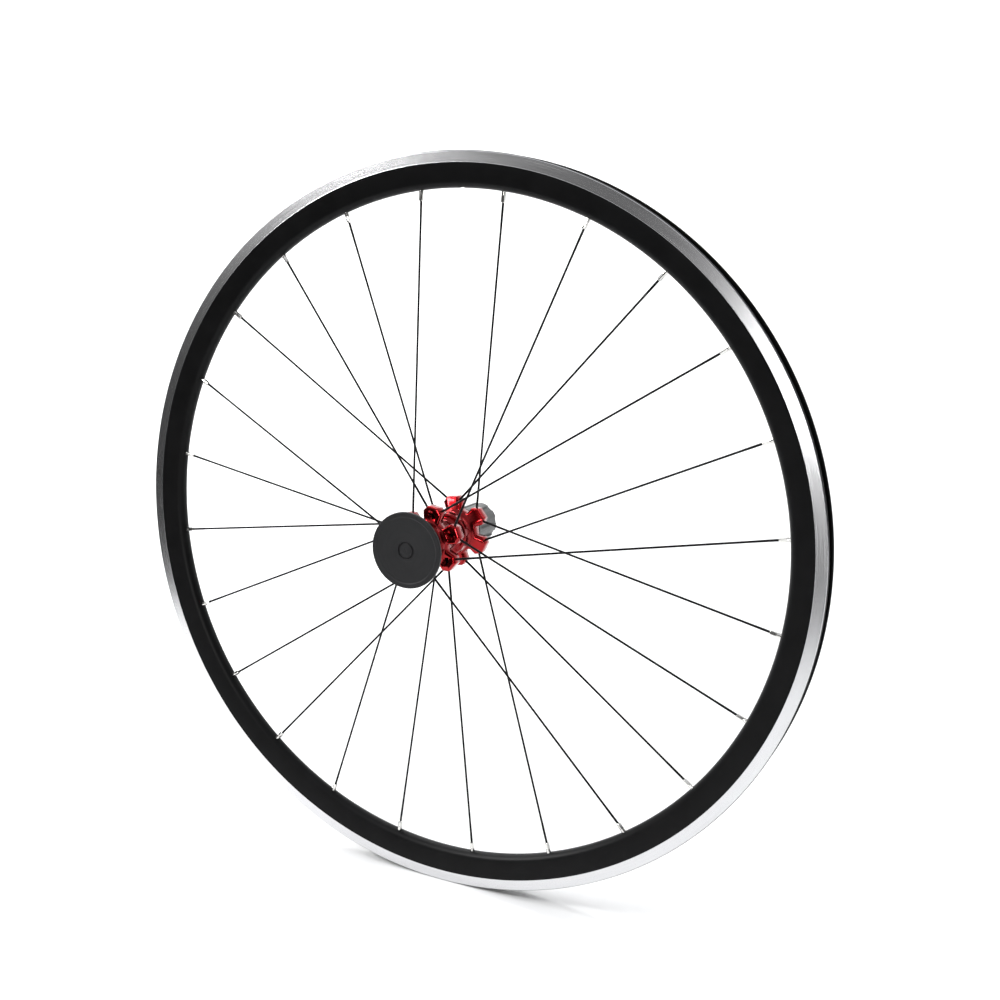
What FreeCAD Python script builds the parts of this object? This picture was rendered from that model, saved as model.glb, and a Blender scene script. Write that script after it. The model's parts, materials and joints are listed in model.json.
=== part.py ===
import FreeCAD, Part

import math
import os

from FreeCAD import Placement, Rotation, Vector

# Bicycle rear wheel: a clincher rim for rim brakes, 24 straight-pull spokes, a hub shell with two
# star-shaped flanges, a ratchet freehub with three pawls, four cartridge bearings and a hollow axle.
# Millimetres. The origin is the wheel's centre, in the middle plane of the rim, on the axle line.
# +Y points to the drive side (right), -Y to the other side (left), +Z up. Angles round the axle
# start at the top and grow towards +X. Driving the bicycle forwards turns the wheel the other way.

# ---- driving dimensions: rim ----
bead_seat_diameter = 622.0
flange_height = 5.5
rim_depth = 29.2
rim_width = 20.0
track_height = 9.3
track_step = 0.2
track_wall = 1.5
side_wall = 1.0
bridge_wall = 1.0
bed_wall = 1.5
bed_round = 6.8
hook_overhang = 1.0
hook_height = 1.7
well_width = 9.4
well_depth = 4.0
well_slope = 1.0
rim_edge = 0.8
hook_edge = 0.5
nipple_hole_gap = 0.25
tape_thickness = 0.5
sleeve_arc = 8.0
valve_hole_diameter = 6.5
valve_angle = 2.2

# ---- driving dimensions: spokes and nipples ----
spoke_count = 24
spoke_diameter = 1.8
spoke_end_diameter = 2.0
butt_length = 22.0
butt_taper = 12.0
spoke_head_diameter = 4.2
spoke_head_height = 2.0
spoke_offset = 16.2
spoke_head_turn = 48.8
spoke_stagger = 1.15
spoke_tip_in_nipple_head = 1.8
nipple_diameter = 4.0
nipple_head_diameter = 6.0
nipple_head_height = 3.0
nipple_reach = 8.5
nipple_flats = 3.3
nipple_grip_length = 6.0
nipple_seat_gap = 0.6
nipple_crown_round = 1.0

# ---- driving dimensions: hub ----
over_locknut = 130.0
left_flange_plane = -32.5
right_flange_plane = 16.5
flange_thickness = 10.0
lobe_over_head = 5.6
lobe_width = 16.8
lobe_corner = 4.6
lobe_corner_lean = 38.0
lobe_root_width = 13.2
web_over_core = 1.0
lobe_tip_round = 1.2
lobe_root_round = 2.0
lobe_edge = 0.8
bearing_boss_wall = 3.2
drum_wall = 1.8
barrel_radius = 12.8
barrel_wall = 2.4
left_boss_length = 5.5
left_boss_dome = 0.8
drum_lip_length = 0.5
drum_length = 26.0
drum_mouth_gap = 0.8
pocket_length = 5.5
pocket_width = 5.0
spoke_hole_gap = 0.15

# ---- driving dimensions: bearings (all four alike) ----
bearing_bore = 15.0
bearing_outer = 28.0
bearing_width = 7.0
ball_diameter = 4.0
ball_count = 11
ball_seat_depth = 0.65
cage_thickness = 1.2
seal_thickness = 0.5
seal_inset = 0.1
left_bearing_depth = 3.0
freehub_bearing_depth = 5.0

# ---- driving dimensions: freehub and ratchet ----
tooth_count = 24
tooth_root_gap = 0.25
tooth_crest_degrees = 1.8
tooth_overcut = 0.6
ratchet_wall = 1.15
ratchet_width = 10.0
ratchet_gap = 1.0
pawl_count = 3
pawl_pivot_depth = 2.0
pawl_heel_radius = 1.6
pawl_length = 7.6
pawl_width = 6.6
pawl_lift_degrees = 11.0
pawl_tip_room = 1.0
pawl_spring_bend_share = 0.35
pawl_spring_reach_share = 0.75
pawl_spring_thickness = 0.25
pawl_spring_bow = 0.15
pawl_spring_inset = 1.2
carrier_floor = 0.5
carrier_gap = 0.4
spline_wall = 1.25
spline_groove_depth = 1.3
spline_groove_width = 5.4
spline_count = 9
spline_length = 35.0
shoulder_height = 1.3
shoulder_width = 3.2
lockring_thread_wall = 0.75
lockring_thread_depth = 10.0
circlip_height = 2.1
circlip_width = 1.0
circlip_slit = 4.4

# ---- driving dimensions: axle ----
axle_radius = 7.5
axle_shoulder_radius = 8.6
axle_end_radius = 4.95
axle_end_length = 5.5
skewer_bore_radius = 2.7
locknut_thickness = 5.0
locknut_radius = 9.6
wrench_flats = 17.0
spacer_radius = 8.9
spacer_edge = 0.2
cover_thickness = 1.6
left_cover_gap = 0.6
right_cover_gap = 2.4

# ---- driving dimensions: axle protector ----
protector_radius = 31.5
protector_thickness = 2.2
protector_boss_radius = 9.0
protector_boss_round = 2.0
protector_rim_round = 0.8
protector_end_gap = 0.4
protector_groove_outer = 7.4
protector_groove_inner = 5.7
protector_groove_depth = 1.1
protector_lip_width = 3.6
protector_lip_height = 0.5

# ---- clearances ----
running_fit = 0.05
press_gap = 0.03
free_gap = 0.3
edge_break = 0.4

# ---- worked out from the above ----
axle_line = Vector(0, 1, 0)
bead_seat_radius = bead_seat_diameter / 2
rim_radius = bead_seat_radius + flange_height
bed_radius = rim_radius - rim_depth
track_foot_radius = rim_radius - track_height
half_width = rim_width / 2
well_radius = bead_seat_radius - well_depth
spoke_pitch = 360.0 / spoke_count
lobe_count = spoke_count // 4
lobe_pitch = 360.0 / lobe_count
first_spoke_angle = valve_angle - spoke_pitch / 2
locknut_face = over_locknut / 2
locknut_back = locknut_face - locknut_thickness

spoke_head_radius = spoke_head_diameter / 2
head_reach = spoke_offset * math.tan(math.radians(spoke_head_turn))
lobe_radius = math.hypot(spoke_offset, head_reach) + lobe_over_head

ball_radius = ball_diameter / 2
ball_circle_radius = (bearing_bore + bearing_outer) / 4
race_land = (bearing_outer - bearing_bore) / 4 - ball_radius + ball_seat_depth
bearing_seat_radius = bearing_outer / 2 + press_gap
lockring_thread_radius = bearing_outer / 2 + lockring_thread_wall

tooth_tip_radius = bearing_outer / 2 + free_gap
carrier_radius = tooth_tip_radius - carrier_gap
carrier_bore = spacer_radius + free_gap
pocket_floor = carrier_bore + carrier_floor
pawl_pivot_radius = carrier_radius - pawl_pivot_depth
pawl_tip_height = math.sqrt((tooth_tip_radius - free_gap) ** 2 - pawl_length ** 2)
pawl_tip_drop = pawl_pivot_radius - pawl_tip_height
pawl_tip_thickness = pawl_tip_height - pocket_floor - pawl_spring_thickness - 2 * running_fit
raised_tip = Rotation(axle_line, pawl_lift_degrees).multVec(Vector(-pawl_length, 0, -pawl_tip_drop))
raised_tip_radius = (Vector(0, 0, pawl_pivot_radius) + raised_tip).Length
tooth_root_radius = raised_tip_radius + tooth_root_gap
ratchet_outer_radius = tooth_root_radius + ratchet_wall
left_core_radius = bearing_outer / 2 + bearing_boss_wall
right_core_radius = ratchet_outer_radius + drum_wall
spline_outer_radius = lockring_thread_radius + spline_wall + spline_groove_depth
shoulder_radius = spline_outer_radius + shoulder_height

shell_left_end = left_flange_plane - flange_thickness / 2 - left_boss_length
shell_right_end = right_flange_plane + flange_thickness / 2 + drum_lip_length
ratchet_start = shell_right_end - ratchet_width - drum_lip_length
ratchet_end = ratchet_start + ratchet_width
pawl_start = ratchet_start + (ratchet_width - pawl_width) / 2
pawl_end = pawl_start + pawl_width
shoulder_start = shell_right_end + drum_mouth_gap
spline_start = shoulder_start + shoulder_width
freehub_end = spline_start + spline_length
left_bearing_start = shell_left_end + left_bearing_depth
left_bearing_end = left_bearing_start + bearing_width
right_bearing_end = ratchet_start - ratchet_gap
right_bearing_start = right_bearing_end - bearing_width
freehub_inner_bearing_start = shell_right_end + freehub_bearing_depth
freehub_inner_bearing_end = freehub_inner_bearing_start + bearing_width
freehub_outer_bearing_end = freehub_end - lockring_thread_depth
freehub_outer_bearing_start = freehub_outer_bearing_end - bearing_width


# ---- shape helpers ----

def closed_wire(points, place):
    """Closed outline through the points; a point given as (through, end) is reached by an arc."""
    edges = []
    here = place(points[0])
    for point in points[1:] + points[:1]:
        if isinstance(point[0], tuple):
            through, end = place(point[0]), place(point[1])
            edges.append(Part.Arc(here, through, end).toShape())
        else:
            end = place(point)
            if end.distanceToPoint(here) > 1e-6:
                edges.append(Part.LineSegment(here, end).toShape())
        here = end
    return Part.Wire(edges)


def turned(points):
    """Solid of revolution about the axle line, from an outline of (station, radius) points."""
    outline = closed_wire(points, lambda point: Vector(0, point[0], point[1]))
    return Part.Face(outline).revolve(Vector(0, 0, 0), axle_line, 360)


def tube(start, end, inner, outer, edge=edge_break):
    """Ring along the axle line from start to end, its outer edges broken."""
    return turned([(start, inner), (start, outer - edge), (start + edge, outer),
                   (end - edge, outer), (end, outer - edge), (end, inner)])


def drill(start, end, radius):
    """Round cutter along the axle line."""
    return Part.makeCylinder(radius, end - start, Vector(0, start, 0), axle_line)


def spin_about_axle(shape, degrees):
    """Copy of a shape turned about the axle line, from the top towards +X."""
    copy = shape.copy()
    copy.rotate(Vector(0, 0, 0), axle_line, degrees)
    return copy


def around(shape, count, first=0.0):
    """Copies of a shape evenly spaced round the axle line."""
    return [spin_about_axle(shape, first + index * 360.0 / count) for index in range(count)]


def plate(points, start, end):
    """Flat plate across the axle line from an outline of (x, z) points."""
    outline = closed_wire(points, lambda point: Vector(point[0], start, point[1]))
    return Part.Face(outline).extrude(Vector(0, end - start, 0))


def mirrored_outline(points):
    """Outline of (across, radius) points given for one half and repeated on the other half."""
    other = []
    for point in reversed(points):
        other.append((-point[0], point[1]))
    return points + other


def direction_at(degrees):
    """Unit vector from the axle line at an angle from the top towards +X."""
    angle = math.radians(degrees)
    return Vector(math.sin(angle), 0, math.cos(angle))


def radial_drill(radius, inner, outer, degrees):
    """Round cutter pointing away from the axle line."""
    outward = direction_at(degrees)
    return Part.makeCylinder(radius, outer - inner, outward * inner, outward)


def save(name, shape):
    """Write one node and stop on a bad solid."""
    if not shape.isValid() or shape.Volume <= 0:
        raise ValueError("bad solid in " + name)
    shape.exportStep("parts/" + name + ".step")


# ---- spoke lines ----

def spoke_line(index):
    """Head seat, unit direction to the rim, and length to the rim bed, for one spoke.

    Even spokes go to the left flange and odd ones to the right. Each spoke is tangent to a circle
    of radius spoke_offset, and leans one way or the other in pairs. The heads that lean towards +X
    sit nearer the flange's outer face, so that crossing spokes pass clear of each other.
    """
    lean = lean_of(index)
    if index % 2 == 0:
        flange_plane = left_flange_plane - lean * spoke_stagger
    else:
        flange_plane = right_flange_plane + lean * spoke_stagger
    rim_angle = first_spoke_angle + index * spoke_pitch
    foot_angle = rim_angle + lean * math.degrees(math.acos(spoke_offset / bed_radius))
    foot = direction_at(foot_angle) * spoke_offset
    run = direction_at(foot_angle - lean * 90)
    head = foot + run * head_reach + Vector(0, flange_plane, 0)
    rim_end = foot + run * math.sqrt(bed_radius ** 2 - spoke_offset ** 2)
    length = (rim_end - head).Length
    return head, (rim_end - head).normalize(), length


def lean_of(index):
    """+1 where the spoke's hub end is turned towards +X from its rim end, otherwise -1."""
    return (-1, 1, 1, -1)[index % 4]


def along_spoke(shape, head, direction):
    """Place a shape made along +Z so that it runs along a spoke from its head seat."""
    copy = shape.copy()
    copy.Placement = Placement(head, Rotation(Vector(0, 0, 1), direction)).multiply(copy.Placement)
    return copy


def turned_along_z(points):
    """Solid of revolution about Z from an outline of (radius, height) points."""
    outline = closed_wire(points, lambda point: Vector(point[0], 0, point[1]))
    return Part.Face(outline).revolve(Vector(0, 0, 0), Vector(0, 0, 1), 360)


def nipple_seat(index):
    """Distance along a spoke from its head seat to the underside of its nipple's head.

    The more a spoke slants at the rim, the further its nipple's head is lifted off the bed.
    """
    head, direction, length = spoke_line(index)
    slant = direction.getAngle(direction_at(first_spoke_angle + index * spoke_pitch))
    return length + bed_wall + nipple_seat_gap + nipple_diameter / 2 * math.tan(slant)


def spoke(index):
    """Double-butted straight-pull spoke: mushroom head, thick ends and a thinner middle."""
    head, direction, length = spoke_line(index)
    thick = spoke_end_diameter / 2
    thin = spoke_diameter / 2
    tip = nipple_seat(index) + spoke_tip_in_nipple_head
    body = turned_along_z([
        (0, -spoke_head_height), (spoke_head_radius * 0.6, -spoke_head_height),
        ((spoke_head_radius * 0.92, -spoke_head_height * 0.8),
         (spoke_head_radius, -spoke_head_height * 0.4)),
        (spoke_head_radius, 0), (thick, 0), (thick, butt_length), (thin, butt_length + butt_taper),
        (thin, length - butt_length - butt_taper), (thick, length - butt_length), (thick, tip),
        (0, tip)])
    return along_spoke(body, head, direction)


def nipple(index):
    """Spoke nipple: head inside the rim, round shank through the bed, square grip outside."""
    head, direction, length = spoke_line(index)
    shank = nipple_diameter / 2
    bore = spoke_end_diameter / 2 + running_fit
    head_radius = nipple_head_diameter / 2
    start = length - nipple_reach
    seat = nipple_seat(index)
    crown = seat + nipple_head_height
    crown_start = crown - nipple_crown_round
    body = turned_along_z([
        (bore, start), (shank - edge_break, start), (shank, start + edge_break), (shank, seat),
        (head_radius, seat + head_radius - shank), (head_radius, crown_start),
        ((head_radius - nipple_crown_round * 0.3, crown - nipple_crown_round * 0.3),
         (head_radius - nipple_crown_round, crown)), (bore, crown)])
    half = nipple_flats / 2
    slab = Part.makeBox(nipple_diameter, nipple_diameter * 2, nipple_grip_length,
                        Vector(half, -nipple_diameter, start - edge_break))
    for turn in range(4):
        side = slab.copy()
        side.rotate(Vector(0, 0, 0), Vector(0, 0, 1), turn * 90)
        body = body.cut(side)
    return along_spoke(body, head, direction)


# ---- rim ----

def tangent_from_circle(centre, radius, point):
    """Point where the line from an outside point touches the lower right of a circle."""
    across = point[0] - centre[0]
    up = point[1] - centre[1]
    distance = math.hypot(across, up)
    angle = math.atan2(up, across) - math.acos(radius / distance)
    return centre[0] + radius * math.cos(angle), centre[1] + radius * math.sin(angle)


def cavity_side(gap):
    """Lower and upper ends of the rim cavity's sloping side, moved inwards by a gap."""
    upper = (half_width + track_step - side_wall - gap, track_foot_radius - track_step - side_wall)
    bed_centre = (0, bed_radius + bed_round)
    return tangent_from_circle(bed_centre, bed_round - bed_wall - gap, upper), upper


def rim():
    """Hollow box-section rim: tyre channel with hooked edges, brake tracks, holes for nipples."""
    outer_foot = (half_width + track_step, track_foot_radius - track_step)
    bed_centre = (0, bed_radius + bed_round)
    outer_touch = tangent_from_circle(bed_centre, bed_round, outer_foot)
    channel_wall = half_width - track_wall
    lip = channel_wall - hook_overhang
    well_half = well_width / 2
    half = [
        outer_touch, outer_foot, (half_width, track_foot_radius), (half_width, rim_radius - rim_edge),
        (half_width - rim_edge, rim_radius), (lip + hook_edge, rim_radius),
        (lip, rim_radius - hook_edge), (lip, rim_radius - hook_height),
        (channel_wall, rim_radius - hook_height - hook_overhang),
        (channel_wall, bead_seat_radius), (well_half + well_slope, bead_seat_radius),
        (well_half, well_radius)]
    outline = mirrored_outline(half)
    outline.append(((0, bed_radius), outline[0]))
    body = turned(outline)

    ledge = bead_seat_radius - bridge_wall
    ceiling = well_radius - bridge_wall
    inner_touch, inner_foot = cavity_side(0)
    cavity = mirrored_outline([
        inner_touch, inner_foot, (channel_wall, track_foot_radius), (channel_wall, ledge),
        (well_half + well_slope + bridge_wall, ledge), (well_half + bridge_wall, ceiling)])
    cavity.append(((0, bed_radius + bed_wall), cavity[0]))
    body = body.cut(turned(cavity))

    cutters = []
    hole = Part.makeCylinder(nipple_diameter / 2 + nipple_hole_gap, bed_wall * 3, Vector(0, 0, 0))
    for index in range(spoke_count):
        head, direction, length = spoke_line(index)
        cutters.append(along_spoke(hole, head + direction * (length - bed_wall), direction))
        cutters.append(radial_drill(well_half - free_gap, ceiling - 1, well_radius + 1,
                                    first_spoke_angle + index * spoke_pitch))
    cutters.append(radial_drill(valve_hole_diameter / 2, bed_radius - 2, well_radius + 1, valve_angle))
    return body.cut(cutters)


def rim_tape():
    """Thin strip in the bottom of the tyre channel that covers the spoke holes."""
    half = well_width / 2 - free_gap
    strip = tube(-half, half, well_radius + press_gap, well_radius + press_gap + tape_thickness, 0)
    hole = radial_drill(valve_hole_diameter / 2, well_radius - 1, well_radius + 3, valve_angle)
    return strip.cut(hole)


def rim_joint_sleeve():
    """Pressed insert inside the rim cavity, opposite the valve, that joins the ends of the hoop."""
    gap = free_gap / 2
    lower, upper = cavity_side(gap)
    top = well_radius - bridge_wall - gap
    share = (top - lower[1]) / (upper[1] - lower[1])
    shoulder = (lower[0] + (upper[0] - lower[0]) * share, top)
    outline = mirrored_outline([lower, shoulder])
    outline.append(((0, bed_radius + bed_wall + gap), outline[0]))
    wire = closed_wire(outline, lambda point: Vector(0, point[0], point[1]))
    insert = Part.Face(wire).revolve(Vector(0, 0, 0), axle_line, sleeve_arc)
    return spin_about_axle(insert, valve_angle + 180 - sleeve_arc / 2)


# ---- hub shell ----

def lobe_corners(core_radius):
    """Corners of one lobe pointing up, as (x, z, rounding radius), from its left root to its right.

    The two upper corners face along the spokes that leave through them. The web between two lobes
    stands out over the shell's core by web_over_core, so its chamfers never run into the core.
    """
    half = lobe_width / 2
    root = lobe_root_width / 2
    corner_radius = lobe_radius - lobe_corner
    tip = half - lobe_corner * math.tan(math.radians(lobe_corner_lean))
    web_angle = math.radians(lobe_pitch / 2)
    root_height = (core_radius + web_over_core - root * math.sin(web_angle)) / math.cos(web_angle)
    right = [(tip, lobe_radius, lobe_tip_round), (half, corner_radius, lobe_tip_round),
             (root, root_height, lobe_root_round)]
    left = [(-x, z, rounding) for x, z, rounding in reversed(right)]
    return left + right


def rounded_outline(corners):
    """Outline with every (x, z, radius) corner replaced by an arc tangent to both its sides."""
    points = []
    for index, (x, z, radius) in enumerate(corners):
        corner = Vector(x, 0, z)
        before = Vector(corners[index - 1][0], 0, corners[index - 1][1])
        after = Vector(corners[(index + 1) % len(corners)][0], 0, corners[(index + 1) % len(corners)][1])
        back = (before - corner).normalize()
        ahead = (after - corner).normalize()
        half_angle = back.getAngle(ahead) / 2
        setback = radius / math.tan(half_angle)
        bisector = (back + ahead).normalize()
        start = corner + back * setback
        end = corner + ahead * setback
        through = corner + bisector * (radius / math.sin(half_angle) - radius)
        points.append((start.x, start.z))
        points.append(((through.x, through.z), (end.x, end.z)))
    return points


def star_flange(plane, core_radius, first_angle):
    """Plate with a ring of lobes, all its corners rounded and both rims chamfered."""
    corners = []
    for index in range(lobe_count):
        turn = math.radians(first_angle + index * lobe_pitch)
        for x, z, rounding in lobe_corners(core_radius):
            corners.append((x * math.cos(turn) + z * math.sin(turn),
                            z * math.cos(turn) - x * math.sin(turn), rounding))
    start = plane - flange_thickness / 2
    star = plate(rounded_outline(corners), start, start + flange_thickness)
    rims = [edge for edge in star.Edges if edge.BoundBox.YLength < 1e-6]
    return star.makeChamfer(lobe_edge, rims)


def spoke_pocket(index):
    """Cutters for one spoke: pocket open to the flange's outer face, head seat and spoke hole."""
    head, direction, length = spoke_line(index)
    outward = -1 if index % 2 == 0 else 1
    flat_direction = Vector(direction.x, 0, direction.z).normalize()
    side = flat_direction.cross(axle_line)
    wall = head - flat_direction * free_gap
    depth = flange_thickness
    floor = pocket_width / 2
    corners = []
    for along, across in ((0, -1), (0, 1), (-pocket_length, 1), (-pocket_length, -1)):
        corners.append(wall + flat_direction * along + side * (across * pocket_width / 2)
                       - Vector(0, outward * floor, 0))
    outline = Part.makePolygon(corners + corners[:1])
    slot = Part.Face(outline).extrude(Vector(0, outward * (depth + floor), 0))
    seat = Part.makeCylinder(spoke_head_radius + spoke_hole_gap, spoke_head_height,
                             Vector(0, 0, -spoke_head_height))
    hole = Part.makeCylinder(spoke_end_diameter / 2 + spoke_hole_gap, lobe_width, Vector(0, 0, -1))
    return [slot, along_spoke(seat, head, direction), along_spoke(hole, head, direction)]


def hub_shell():
    """Turned and milled shell: left flange, narrow barrel, and the drum that holds the ratchet."""
    left_in = left_flange_plane + flange_thickness / 2
    left_out = left_flange_plane - flange_thickness / 2
    right_out = right_flange_plane + flange_thickness / 2
    drum_start = right_out - drum_length
    left_lip = (bearing_seat_radius + left_core_radius) / 2
    right_lip = (ratchet_outer_radius + right_core_radius) / 2
    waist = left_core_radius - barrel_radius
    step = right_core_radius - barrel_radius
    inside = barrel_radius - barrel_wall
    profile = [
        (shell_left_end, 0), (shell_left_end, left_lip),
        ((shell_left_end + left_boss_length * 0.33, left_core_radius - left_boss_dome),
         (left_out, left_core_radius)),
        (left_in, left_core_radius),
        ((left_in + waist * 0.3, barrel_radius + waist * 0.3), (left_in + waist, barrel_radius)),
        (drum_start - step * 0.7, barrel_radius),
        ((drum_start - step * 0.25, barrel_radius + step * 0.18),
         (drum_start, barrel_radius + step * 0.6)),
        ((drum_start + step * 0.15, right_core_radius - step * 0.1),
         (drum_start + step * 0.5, right_core_radius)),
        (right_out, right_core_radius), (shell_right_end, right_lip), (shell_right_end, 0)]
    shell = turned(profile)
    left_star = star_flange(left_flange_plane, left_core_radius, first_spoke_angle + spoke_pitch)
    right_star = star_flange(right_flange_plane, right_core_radius, first_spoke_angle)
    shell = shell.fuse([left_star, right_star])
    cutters = [
        drill(shell_left_end - 1, shell_right_end + 1, inside),
        drill(shell_left_end - 1, left_bearing_end, bearing_seat_radius),
        drill(right_bearing_start, shell_right_end + 1, bearing_seat_radius),
        drill(ratchet_start, shell_right_end + 1, ratchet_outer_radius + press_gap)]
    for index in range(spoke_count):
        cutters.extend(spoke_pocket(index))
    return shell.cut(cutters).removeSplitter()


# ---- ratchet ring and pawls ----

def pawl_outline(grow=0.0):
    """Outline of a pawl pressed down, its heel on the pivot and its tip towards forward drive.

    Points are (x, z) for the pawl at the top of the carrier. grow widens it to make its pocket.
    """
    heel_side = pawl_heel_radius * 0.125
    heel_top = pawl_pivot_radius + pawl_heel_radius * 0.94
    heel_low = pawl_pivot_radius - pawl_heel_radius * 0.69
    tip_low = pawl_tip_height - pawl_tip_thickness
    tip_lean = pawl_tip_thickness * 0.3
    return [(heel_side, heel_top + grow), (-pawl_length - grow, pawl_tip_height + grow),
            (-pawl_length + tip_lean - grow, tip_low - grow), (heel_side, heel_low - grow)]


def pawl(index):
    """Lever with a round heel that rocks in the carrier, and a tip that catches the ratchet."""
    heel = Part.makeCylinder(pawl_heel_radius, pawl_width, Vector(0, pawl_start, pawl_pivot_radius),
                             axle_line)
    body = heel.fuse(plate(pawl_outline(), pawl_start, pawl_end)).removeSplitter()
    return spin_about_axle(body, index * 360.0 / pawl_count)


def pawl_pocket(index):
    """Cutter for one pawl: round socket for its heel, and room above and below its arm."""
    start = pawl_start - free_gap
    height = pawl_width + 2 * free_gap
    socket = Part.makeCylinder(pawl_heel_radius + running_fit, height,
                               Vector(0, start, pawl_pivot_radius), axle_line)
    tip_room = -pawl_length - pawl_tip_room
    heel_room = -pawl_heel_radius * 0.6
    room = plate([(heel_room, carrier_radius + 2), (tip_room, carrier_radius + 2),
                  (tip_room, pocket_floor), (heel_room, pocket_floor)], start, start + height)
    arm = plate(pawl_outline(free_gap), start, start + height)
    return [spin_about_axle(cutter, index * 360.0 / pawl_count) for cutter in (socket, room, arm)]


def point_at_radius(start, direction, radius):
    """Point where a ray from start leaves the circle of a radius round the axle line."""
    forward = start.dot(direction)
    return start + direction * (math.sqrt(forward ** 2 + radius ** 2 - start.dot(start)) - forward)


def ratchet_ring():
    """Hardened ring pressed in the shell, with saw teeth inside for the pawls to push against.

    Each tooth's steep face is square to the raised pawl's arm, just beyond its tip, so a pawl can
    swing up into the notch. The other side slopes back to the next crest.
    """
    pitch = 360.0 / tooth_count
    away = Vector(raised_tip).normalize()
    up = Vector(away.z, 0, -away.x)
    foot = Vector(0, 0, pawl_pivot_radius) + away * (raised_tip.Length + 3 * running_fit)
    root = point_at_radius(foot, up, tooth_root_radius)
    crest = point_at_radius(foot - up * 3, up, tooth_tip_radius)
    crest_angle = math.degrees(math.atan2(crest.x, crest.z))
    next_crest = direction_at(crest_angle + pitch - tooth_crest_degrees) * tooth_tip_radius
    slope = (next_crest - root).normalize()
    end = next_crest + slope * tooth_overcut
    low = crest - up * tooth_overcut
    notch = plate([(low.x, low.z), (root.x, root.z), (end.x, end.z)], ratchet_start - 1, ratchet_end + 1)
    ring = tube(ratchet_start, ratchet_end, tooth_tip_radius, ratchet_outer_radius)
    return ring.cut(around(notch, tooth_count))


def pawl_springs():
    """Leaf springs under the pawls, one each, lying on the floors of their pockets."""
    low = pocket_floor + press_gap
    high = low + pawl_spring_thickness
    heel_end = -pawl_heel_radius
    bend = -pawl_length * pawl_spring_bend_share
    tip_end = -pawl_length * pawl_spring_reach_share
    middle = (bend + tip_end) / 2
    outline = [(heel_end, low), (bend, low), ((middle, low + pawl_spring_bow), (tip_end, low)),
               (tip_end, high), ((middle, high + pawl_spring_bow), (bend, high)), (heel_end, high)]
    leaf = plate(outline, pawl_start + pawl_spring_inset, pawl_end - pawl_spring_inset)
    return Part.makeCompound(around(leaf, pawl_count))


# ---- freehub ----

def freehub_body():
    """Cassette body: pawl carrier inside the drum, shoulder, and splines for the sprockets."""
    carrier_start = ratchet_start + free_gap
    body = turned([
        (carrier_start, carrier_bore), (carrier_start, carrier_radius - edge_break),
        (carrier_start + edge_break, carrier_radius), (shoulder_start, carrier_radius),
        (shoulder_start, shoulder_radius - edge_break), (shoulder_start + edge_break, shoulder_radius),
        (spline_start - edge_break, shoulder_radius), (spline_start, shoulder_radius - edge_break),
        (spline_start, spline_outer_radius), (freehub_end - 2 * edge_break, spline_outer_radius),
        (freehub_end, spline_outer_radius - 2 * edge_break),
        (freehub_end, lockring_thread_radius + edge_break),
        (freehub_end - edge_break, lockring_thread_radius),
        (freehub_outer_bearing_end, lockring_thread_radius),
        (freehub_outer_bearing_end, bearing_seat_radius),
        (freehub_inner_bearing_start, bearing_seat_radius), (freehub_inner_bearing_start, carrier_bore)])
    depth = spline_outer_radius - spline_groove_depth
    groove = Part.makeBox(spline_groove_width, freehub_end - spline_start + 1, spline_groove_depth * 3,
                          Vector(-spline_groove_width / 2, spline_start, depth))
    narrow = Part.makeBox(spline_groove_width / 2, freehub_end - spline_start + 1, spline_groove_depth * 3,
                          Vector(-spline_groove_width / 4, spline_start, depth))
    cutters = around(groove, spline_count)[1:] + [narrow]
    for index in range(pawl_count):
        cutters.extend(pawl_pocket(index))
    return body.cut(cutters)


def freehub_circlip():
    """Spring ring in the lockring bore that keeps the outer bearing in its seat."""
    start = freehub_outer_bearing_end + 2 * running_fit
    ring = tube(start, start + circlip_width, lockring_thread_radius - circlip_height,
                lockring_thread_radius - press_gap, 2 * running_fit)
    slit = Part.makeBox(circlip_slit, circlip_width * 3, bearing_outer,
                        Vector(-circlip_slit / 2, start - circlip_width, -bearing_outer))
    return ring.cut(slit)


def freehub_seal():
    """Rubber lip ring on the carrier that closes the mouth of the drum."""
    return tube(ratchet_end + 2 * running_fit, shell_right_end + free_gap, carrier_radius + press_gap,
                ratchet_outer_radius - free_gap, free_gap / 2)


# ---- bearings ----

def bearing_pieces(start):
    """Outer race, inner race, balls, cage and seals of one cartridge bearing."""
    middle = start + bearing_width / 2
    end = start + bearing_width
    inner = bearing_bore / 2 + press_gap
    outer = bearing_outer / 2
    ball_centre = Vector(0, middle, ball_circle_radius)
    ball = Part.makeSphere(ball_radius, ball_centre)
    track = Part.makeTorus(ball_circle_radius, ball_radius + running_fit, Vector(0, middle, 0), axle_line)

    outer_race = tube(start, end, outer - race_land, outer).cut(track)
    inner_race = tube(start, end, inner, bearing_bore / 2 + race_land, 0.0).cut(track)
    balls = Part.makeCompound(around(ball, ball_count))

    seal_face = bearing_width / 2 - seal_inset - seal_thickness
    cage_half = (ball_radius + seal_face) / 2
    cage = tube(middle - cage_half, middle + cage_half, ball_circle_radius - cage_thickness / 2,
                ball_circle_radius + cage_thickness / 2, 0.0)
    pocket = Part.makeSphere(ball_radius + 3 * running_fit, ball_centre)
    cage = cage.cut(around(pocket, ball_count))

    seals = []
    for near in (start + seal_inset, end - seal_inset - seal_thickness):
        far = near + seal_thickness
        seals.append(tube(near, far, bearing_bore / 2 + race_land + 2 * running_fit,
                          outer - race_land - press_gap, 0.0))
    return {"outer_race": outer_race, "inner_race": inner_race, "balls": balls, "cage": cage,
            "seals": Part.makeCompound(seals)}


# ---- axle group ----

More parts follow.
